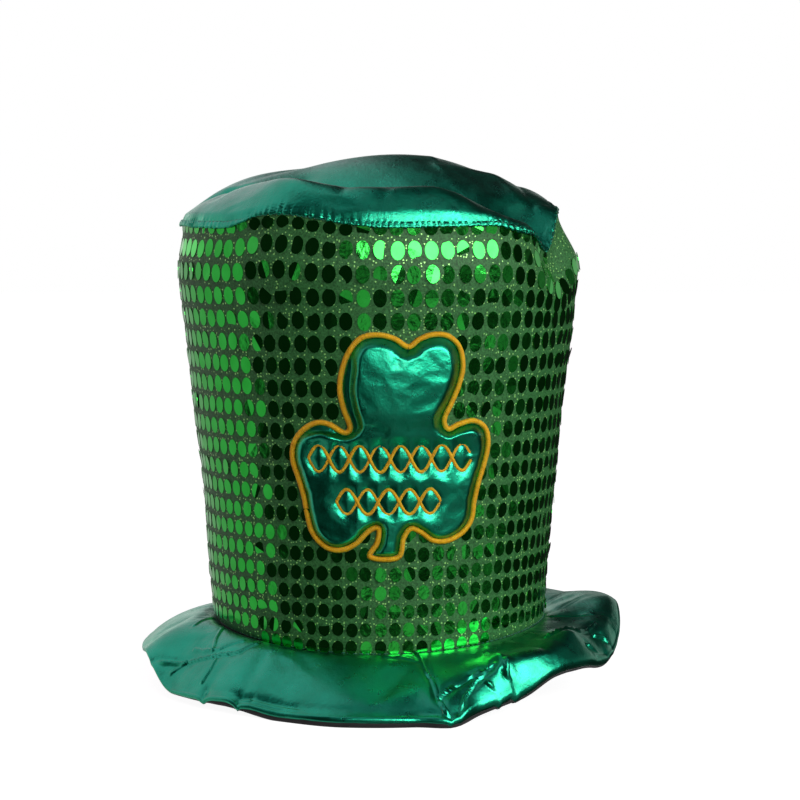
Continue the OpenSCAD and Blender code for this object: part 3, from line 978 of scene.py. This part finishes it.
def build_brim():
    """The brim's upper cloth with its rolled edge, the black cloth under it and its wadding."""
    turn = BRIM_TURNS[None, :]
    u, a = np.broadcast_arrays(BRIM_US[:, None], turn)
    share = 1 - roll_r(a) * (1 - np.cos(roll_start(a))) / (edge_r(a) - BRIM_IN_R)
    top = brim_top(a, u, share)
    inner = at(a, BRIM_IN_R + np.minimum(u, 0) * 60, 0)
    top[..., :2] = np.where((u < 0)[..., None], inner[..., :2], top[..., :2])
    top[..., 2] += 45 * np.minimum(u, 0)
    out = at(BRIM_TURNS, 1.0, 0)
    upward = np.array([0, 0, 1.0])
    radius = roll_r(BRIM_TURNS)[:, None]
    start = roll_start(BRIM_TURNS)[:, None]
    middle = top[-1] - radius * (np.cos(start) * out + np.sin(start) * upward)
    shares = np.linspace(0.12, 1, ROLL_STEPS)
    angles = [start - v * (start + math.radians(80)) for v in shares]
    roll = [middle + radius * (np.cos(b) * out + np.sin(b) * upward) for b in angles]
    roll[-1][:, 2] = np.maximum(roll[-1][:, 2], 0.4)
    rows = np.concatenate([top, np.array(roll)])
    n_rows, cols = rows.shape[:2]
    points, faces = rows.reshape(-1, 3), grid_faces(n_rows, cols, flip=True)
    turns_flat = np.broadcast_to(turn, (n_rows, cols)).reshape(-1)
    row = np.repeat(np.arange(n_rows), cols)
    lines = np.min([near_line(points[:, 0], points[:, 1], c[0]) for c in brim_lines], axis=0)
    hold = 0.03 + 0.55 * np.exp(-(lines / 1.6) ** 2)
    hold = np.where((row < 2) | (row == n_rows - 1), 1.0, hold)
    spare = np.exp(-np.abs(u_of(row)) / 0.12) + np.exp(-np.abs(u_of(row) - 1.0) / 0.1)
    crumpled = smooth(8, 16, turned(turns_flat)) * (1 - smooth(110, 140, turned(turns_flat)))
    spare = np.maximum(0.5 * spare, 0.8 * crumpled)
    points = settle(points, faces, hold, spare, extra=(0.002, 0.03), push=0.5, cap=2.5)
    points[:, 2] = np.maximum(points[:, 2], 0.4)
    sheet, faces = refined(points, faces)
    sheet = sharpened(sheet, faces, brim_lines)
    sheet[:, 2] = np.maximum(sheet[:, 2], CLOTH_T + 0.1)
    cloth = cloth_piece("brim_top_cloth_padded", "brim_top_cloth", sheet, faces, CLOTH_T, LAME)

    # The black cloth: flat under the brim, then up round the edge to the roll
    bottom_us = np.concatenate([[-1.0], np.linspace(0, 0.97, 22)])
    rows = [under(BRIM_TURNS, v) for v in bottom_us]
    foot = under(BRIM_TURNS, 1.0) - out * 1.6
    high = roll[-1][:, 2] + 0.3
    for t in np.linspace(0, 1, 6):
        bulge = 0.6 * math.sin(math.pi * t)
        row_points = foot + out * (0.3 + bulge + 0.5 * t)
        row_points[:, 2] = foot[:, 2] + (high - foot[:, 2]) * t
        rows.append(row_points)
    rows = np.array(rows)
    lining = cloth_piece("brim_under_cloth_flat", "brim_under_cloth", rows.reshape(-1, 3),
                         grid_faces(len(rows), cols), LINING_T, LINING)

    pad_us = np.linspace(0.02, 0.9, 20)[:, None]
    pa, pu = np.broadcast_arrays(BRIM_TURNS[None, :], pad_us)
    upper = brim_top(pa, pu) - [0, 0, 4.2]
    lower = under(pa, pu, LINING_T + GAP)
    upper[..., 2] = np.maximum(upper[..., 2], lower[..., 2] + 0.3)
    pad = ring_shell("brim_wadding", "brim_padding", upper[::-1], lower[::-1], WADDING)
    return cloth, lining, pad, roll[-1]


brim_cloth, brim_lining, brim_pad, edge_seam = build_brim()

# ---------------------------------------------------------------- clover patch


BRAIDS = {"clover_upper_braid": (88.0, 17.0, 4.0, (0.0, -6.0)),
          "clover_lower_braid": (56.0, 16.0, 2.5, (-1.0, -29.5))}
STRAND_W = 2.3
QUILT_LIFT = 2.0


def strand(length, height, waves, centre, way):
    s = np.linspace(-0.5, 0.5, 240)
    z = way * (height - STRAND_W) / 2 * np.sin(2 * np.pi * waves * (s + 0.5))
    return np.stack([length * s + centre[0], z + centre[1]], axis=1)


STRANDS = [(node, way, strand(*BRAIDS[node], way)) for node in BRAIDS for way in (-1, 1)]


def clover_rise(flat, outline):
    """How far the patch's cloth stands over the crown: a flat hem inside the border, then
    a stuffed cushion that is fullest over the upper braid and sewn down at the braids."""
    d = distance(flat, outline)
    x, z = flat[:, 0], flat[:, 1]
    seams = np.min([near_line(x, z, line[::4]) for _, _, line in STRANDS], axis=0)
    lobe = smooth(4, 12, z)
    hem = 0.6 * np.sqrt(1 - np.exp(-d / 0.6))
    inset = 0.2 + 4.0 * lobe * (1 - smooth(-24, -8, x)) * (1 - smooth(40, 54, z))
    wall = smooth(0, 1, (d - inset) / (3.4 + 2.0 * lobe))
    crown = (2.4 + 4.8 * (1 - np.clip((z - 20) / 38, 0, 1) ** 2)) * smooth(-2, 20, z)
    puffs = 2.6 * (1 - np.exp(-seams / 2.4)) * (1 - 0.7 * lobe)
    rise = hem + wall * (QUILT_LIFT - 0.6 + crown + puffs) + 0.15 * noise_at(flat, 0.15) * wall
    return rise, seams


def build_clover():
    outline = grown(clover_line, -BORDER_W / 2 + 0.4)[::2]
    flat, tris, border = fill_outline(outline, 1.5)
    rise, seams = clover_rise(flat, outline)
    sheet = on_crown(flat, rise)
    on_line = np.exp(-(seams / 1.3) ** 2)
    hold = np.where(np.arange(len(flat)) < len(outline), 1.0, 0.06 + 0.9 * on_line)
    sheet = settle(sheet, tris, hold, 0 * rise, extra=(0.006, 0.006), push=1.0, cap=1.5)
    sheet, faces = refined(sheet, tris)
    cloth = cloth_piece("clover_cloth_quilted", "clover_cloth", sheet, faces, CLOTH_T, LAME)
    upper, lower = on_crown(flat, np.maximum(rise - 1.6, 0.06)), on_crown(flat, 0.02)
    pad = plate("clover_wadding", "clover_padding", upper, lower, tris, border, WADDING)
    return cloth, pad


def noise_at(points, rate):
    return np.array([noise.noise(Vector((p[0] * rate, p[1] * rate, 3.7))) for p in points])


clover_cloth, clover_pad = build_clover()

# ---------------------------------------------------------------- threads


class Path:
    """A run of points with outward directions, looked up by the distance along it."""

    def __init__(self, points, out, closed):
        ends = 1 if closed else 0
        self.points = np.concatenate([points, points[:ends]])
        self.out = np.concatenate([out, out[:ends]])
        self.along = np.concatenate([[0], np.cumsum(np.linalg.norm(np.diff(self.points, axis=0), axis=1))])
        self.length = self.along[-1]

    def look_up(self, s, rows):
        return np.array([np.interp(s, self.along, rows[:, k]) for k in range(3)])

    def frame(self, s, reach):
        """The point, the way along the path, the way across it and the way out."""
        out = self.look_up(s, self.out)
        out /= np.linalg.norm(out)
        way = self.look_up(s + reach, self.points) - self.look_up(s - reach, self.points)
        way -= out * (way @ out)
        way /= np.linalg.norm(way)
        return self.look_up(s, self.points), way, np.cross(out, way), out


def add_thread(verts, faces, rings, turn_over):
    """Adds a closed thread through rings of points; turn_over is set where they run clockwise."""
    first, steps, sides = len(verts), len(rings), len(rings[0])
    for ring in rings:
        verts.extend(ring)
    for j in range(steps - 1):
        for k in range(sides):
            m = (k + 1) % sides
            p, q = first + j * sides, first + (j + 1) * sides
            faces.append((p + k, p + m, q + m, q + k) if turn_over else (p + k, q + k, q + m, p + m))
    near = [first + k for k in range(sides)]
    far = [first + (steps - 1) * sides + k for k in range(sides)]
    faces.append(tuple(reversed(near)) if turn_over else tuple(near))
    faces.append(tuple(far) if turn_over else tuple(reversed(far)))


# Directions round a thread of four and of five sides
RING_4 = 2 * np.pi * (np.arange(4) + 0.5) / 4
RING_5 = 2 * np.pi * np.arange(5) / 5
SATIN_PITCH = 0.36
STITCH = 2.6        # length of a seam's stitch


def satin(name, node, points, out, width, lift, radius, closed, seed):
    """Gold threads laid side by side across a path, arched over its middle."""
    rng = np.random.RandomState(seed)
    path = Path(points, out, closed)
    count = int(path.length / SATIN_PITCH)
    verts, faces = [], []
    for i in range(count):
        c, way, across, n = path.frame((i + 0.5) * path.length / count, 1.2)
        slant = 0.10 + rng.normal(0, 0.03)
        half = width / 2 * (1 + rng.normal(0, 0.03))
        top = lift * (1 + rng.normal(0, 0.05))
        rings = []
        for v in np.linspace(-1, 1, 7):
            height = top * math.sqrt(max(0, 1 - v * v)) - 0.1
            middle = c + across * half * v + way * slant * half * v + n * height
            slope = np.array([-v / math.sqrt(max(0.0625, 1 - v * v)) * top, half])
            slope /= np.linalg.norm(slope)
            normal = n * slope[1] - across * slope[0]
            rings.append([middle + radius * (normal * math.sin(w) + way * math.cos(w)) for w in RING_4])
        add_thread(verts, faces, rings, turn_over=False)
    new_piece(name, node, np.array(verts), faces, GOLD)


satin("clover_border_satin", "clover_border", on_crown(clover_line, 0.35), crown_out(clover_line),
      BORDER_W, 1.5, 0.24, True, 31)
for node, way, line in STRANDS:
    satin(f"{node}_strand_{2 - (way < 0)}", node, on_crown(line, QUILT_LIFT - 0.1), crown_out(line),
          STRAND_W, 1.1 + 0.15 * way, 0.22, False, 40 + way)


def stitches(seam, points, out, gap, radius, closed=True):
    """A row of short stitches along a seam."""
    path = Path(points, out, closed)
    count = int(path.length / (STITCH + gap))
    verts, faces = [], []
    for i in range(count):
        rings = []
        for v in np.linspace(0, 1, 6):
            c, _, across, n = path.frame(i * path.length / count + v * STITCH, 0.5)
            sunk = -0.5 * (2 * v - 1) ** 6
            rings.append([c + n * sunk + radius * (n * math.sin(w) + across * math.cos(w)) for w in RING_5])
        add_thread(verts, faces, rings, turn_over=True)
    new_piece(f"{seam}_stitches", f"{seam}_thread", np.array(verts), faces, GREEN)


fine = np.arange(0, 360, 1.0)
radial = at(fine, 1.0, 0.0)
stitches("top_seam", at(fine, top_r(fine) + 0.3, top_z(fine)), radial, 0.8, 0.28)
stitches("base_seam", at(fine, BASE_R + kick(fine) + 0.3, seam_z(fine) + 0.6), radial, 0.8, 0.28)
stitches("brim_edge", edge_seam + at(BRIM_TURNS, 0.5, 0.0), at(BRIM_TURNS, 1.0, 0.0), 0.8, 0.25)
back = side(180.0, np.linspace(0.02, 0.98, 80)) + [0, 0.15, 0]
stitches("back_seam", back, np.tile([0.0, 1.0, 0.0], (80, 1)), 0.9, 0.28, closed=False)
joint = brim_top(JOINT_TURN, np.linspace(0.04, 0.96, 40)) + [0, 0, 0.1]
stitches("brim_joint", joint, np.tile([0.0, 0.0, 1.0], (40, 1)), 0.9, 0.25, closed=False)

for name in ("sweatband", "sweatband_thread"):
    for slot in bpy.data.objects[name].material_slots:
        slot.material = BAND

# ---------------------------------------------------------------- stage, light, camera

FLOOR = 6000.0
floor = bare_object([(-FLOOR, -FLOOR, 0), (FLOOR, -FLOOR, 0), (FLOOR, FLOOR, 0), (-FLOOR, FLOOR, 0)],
                    [(0, 1, 2, 3)], "floor")
pale = Material("pale_floor")
pale.set(Base_Color=(0.3, 0.3, 0.3, 1), Roughness=1.0, Emission_Color=(1, 1, 1, 1), Emission_Strength=0.93)
floor.data.materials.append(pale.material)
floor.visible_glossy = False
floor.visible_diffuse = False


def studio_world():
    """White behind the hat for the camera. For light: a wide soft panel at the left and
    behind, a low strip behind, faint patches ahead at the right and a dark room."""
    world = bpy.data.worlds.new("studio")
    bpy.context.scene.world = world
    world.use_nodes = True
    world.node_tree.nodes.clear()
    n = Nodes(world.node_tree, "Generated")
    x, y, z = n.add("ShaderNodeSeparateXYZ", Vector=n.place).outputs

    def product(*values):
        total = values[0]
        for value in values[1:]:
            total = n.math("MULTIPLY", total, value)
        return total

    panel = product(n.step(x, -0.02, -0.14), n.step(y, -0.27, -0.19), 0.44)
    patches = product(n.step(n.noise(11, 4), 0.49, 0.60), 0.5, n.step(x, -0.35, 0.0), n.step(y, 0.1, -0.3))
    strip = product(n.step(z, 0.0, 0.05), n.step(z, 0.30, 0.14), n.step(y, 0.3, 0.7), 0.45)
    total = n.math("ADD", n.math("ADD", n.math("ADD", panel, patches), strip), 0.015)
    tint = n.mix(n.step(z, 0.15, 0.4), (1, 1, 1, 1), (1.5, 1.1, 1.35, 1))
    room = n.add("ShaderNodeBackground", Strength=total, Color=tint)
    white = n.add("ShaderNodeBackground", Color=(1, 1, 1, 1))
    mix = n.add("ShaderNodeMixShader", Fac=n.add("ShaderNodeLightPath").outputs["Is Camera Ray"])
    n.feed(mix.inputs[1], room.outputs[0])
    n.feed(mix.inputs[2], white.outputs[0])
    n.add("ShaderNodeOutputWorld", Surface=mix.outputs[0])


studio_world()


def softbox(name, turn, height, distance, width, tall, power):
    """A soft light that faces the middle of the hat from a turn and an elevation."""
    light = bpy.data.lights.new(name, "AREA")
    light.shape = "RECTANGLE"
    light.size, light.size_y = width, tall
    light.energy = power
    obj = bpy.data.objects.new(name, light)
    bpy.context.scene.collection.objects.link(obj)
    a, e = math.radians(turn), math.radians(height)
    way = Vector((math.sin(a) * math.cos(e), -math.cos(a) * math.cos(e), math.sin(e)))
    obj.location = Vector((0, 0, 0.15)) + way * distance
    obj.rotation_euler = way.to_track_quat("Z", "Y").to_euler()
    obj.visible_camera = False


softbox("key", 39, 24, 2.0, 2.7, 0.85, 34)

CAMERA_DISTANCE = 1.4
CAMERA_X = 0.0124
CAMERA_Z = 0.276
CAMERA_PITCH = 4.65
camera_data = bpy.data.cameras.new("camera")
camera_data.sensor_width = 36
camera_data.lens = 36 * (CAMERA_DISTANCE / 0.000578) / 800
camera = bpy.data.objects.new("camera", camera_data)
camera.location = (CAMERA_X, -CAMERA_DISTANCE, CAMERA_Z)
camera.rotation_euler = (math.radians(90 - CAMERA_PITCH), 0, 0)
bpy.context.scene.collection.objects.link(camera)
bpy.context.scene.camera = camera
bpy.context.scene.view_settings.view_transform = "Standard"
